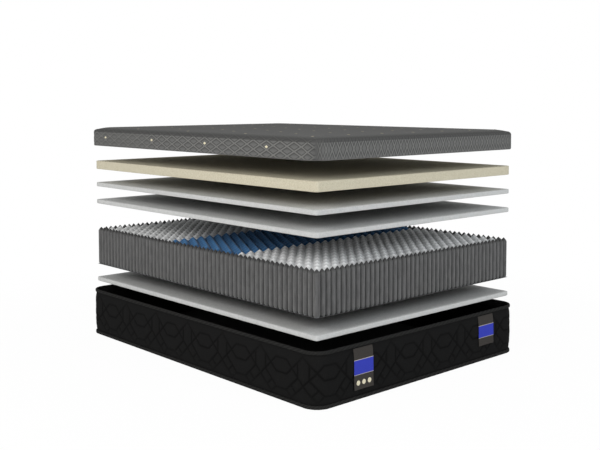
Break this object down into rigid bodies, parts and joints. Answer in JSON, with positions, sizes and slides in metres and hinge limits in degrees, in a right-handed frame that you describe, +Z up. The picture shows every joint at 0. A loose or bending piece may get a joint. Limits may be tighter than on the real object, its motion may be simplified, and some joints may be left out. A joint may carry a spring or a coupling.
{
  "type": "pocket spring mattress",
  "caption": "Queen-size hybrid mattress shown layer by layer: quilted casing, pads, zoned pocket-spring unit, foam slab and knitted quilted cover that stack into one bed.",
  "frame": {"origin": "under the middle of the casing, on the surface that it lies on", "axes": "+Z up, +Y along the length towards the head end, -Y is the foot end with the labels, +X across the width"},
  "size_m": [1.53, 2.0324, 1.2489],
  "materials": {
    "edge_tape": "matte",
    "border_quilt": "matte",
    "casing_lining": "matte",
    "label_cloth": "matte",
    "label_blue": "matte",
    "label_cream": "matte",
    "white_felt": "matte",
    "foam": "matte",
    "scrim": "matte",
    "grey_pocket": "matte",
    "white_pocket": "matte",
    "blue_pocket": "matte",
    "spring_steel": "satin",
    "cover_knit": "matte",
    "quilt_fill": "matte",
    "dot_yarn": "matte"
  },
  "bodies": {
    "casing": {"bottom_tape": "edge_tape", "border_panel": "border_quilt", "border_lining": "casing_lining", "top_tape": "edge_tape", "base_cloth": "casing_lining", "base_padding": "casing_lining"},
    "long_label": {"long_label": "label_cloth", "long_label_panel": "label_blue", "long_label_discs": "label_cream"},
    "short_label": {"short_label": "label_cloth", "short_label_panel": "label_blue"},
    "base_pad": {"base_pad": "white_felt"},
    "spring_unit": {"core_scrim": "scrim", "left_edge_string": "grey_pocket", "right_edge_string": "grey_pocket", "foot_edge_string": "grey_pocket", "head_edge_string": "grey_pocket", "pocket_row_01": "white_pocket", "pocket_row_02": "white_pocket", "pocket_row_03": "white_pocket", "pocket_row_04": "white_pocket", "pocket_row_05": "white_pocket", "pocket_row_06": "white_pocket", "pocket_row_07": "white_pocket", "pocket_row_08": "white_pocket", "pocket_row_09": "white_pocket", "pocket_row_10": "white_pocket", "pocket_row_11": "blue_pocket", "pocket_row_12": "blue_pocket", "pocket_row_13": "blue_pocket", "pocket_row_14": "blue_pocket", "pocket_row_15": "blue_pocket", "pocket_row_16": "blue_pocket", "pocket_row_17": "blue_pocket", "pocket_row_18": "blue_pocket", "pocket_row_19": "blue_pocket", "pocket_row_20": "blue_pocket", "pocket_row_21": "blue_pocket", "pocket_row_22": "blue_pocket", "pocket_row_23": "white_pocket", "pocket_row_24": "white_pocket", "pocket_row_25": "white_pocket", "pocket_row_26": "white_pocket", "pocket_row_27": "white_pocket", "pocket_row_28": "white_pocket", "pocket_row_29": "white_pocket", "pocket_row_30": "white_pocket", "pocket_row_31": "white_pocket", "pocket_row_32": "white_pocket", "pocket_row_33": "white_pocket", "foot_zone_springs": "spring_steel", "lumbar_zone_springs": "spring_steel", "head_zone_springs": "spring_steel", "edge_springs": "spring_steel"},
    "lower_felt": {"lower_felt": "white_felt"},
    "upper_felt": {"upper_felt": "white_felt"},
    "memory_foam": {"memory_foam": "foam"},
    "cover": {"cover_knit": "cover_knit", "cover_padding": "quilt_fill", "cover_dots": "dot_yarn"}
  },
  "joints": [
    {"name": "base_pad_lift", "type": "slide", "parent": "casing", "child": "base_pad", "axis": [0, 0, 1], "range_m": [-0.308, 0]},
    {"name": "spring_unit_lift", "type": "slide", "parent": "base_pad", "child": "spring_unit", "axis": [0, 0, 1], "range_m": [-0.079, 0]},
    {"name": "lower_felt_lift", "type": "slide", "parent": "spring_unit", "child": "lower_felt", "axis": [0, 0, 1], "range_m": [-0.144, 0]},
    {"name": "upper_felt_lift", "type": "slide", "parent": "lower_felt", "child": "upper_felt", "axis": [0, 0, 1], "range_m": [-0.078, 0]},
    {"name": "foam_lift", "type": "slide", "parent": "upper_felt", "child": "memory_foam", "axis": [0, 0, 1], "range_m": [-0.08, 0]},
    {"name": "cover_lift", "type": "slide", "parent": "memory_foam", "child": "cover", "axis": [0, 0, 1], "range_m": [-0.178, 0]},
    {"name": "long_label_fold", "type": "hinge", "parent": "casing", "child": "long_label", "pos_m": [-0.46, -1.00796, 0.24732], "axis": [-1, 0, 0], "range_deg": [0, 90]},
    {"name": "short_label_fold", "type": "hinge", "parent": "casing", "child": "short_label", "pos_m": [0.485, -1.00796, 0.24732], "axis": [-1, 0, 0], "range_deg": [0, 90]}
  ]
}
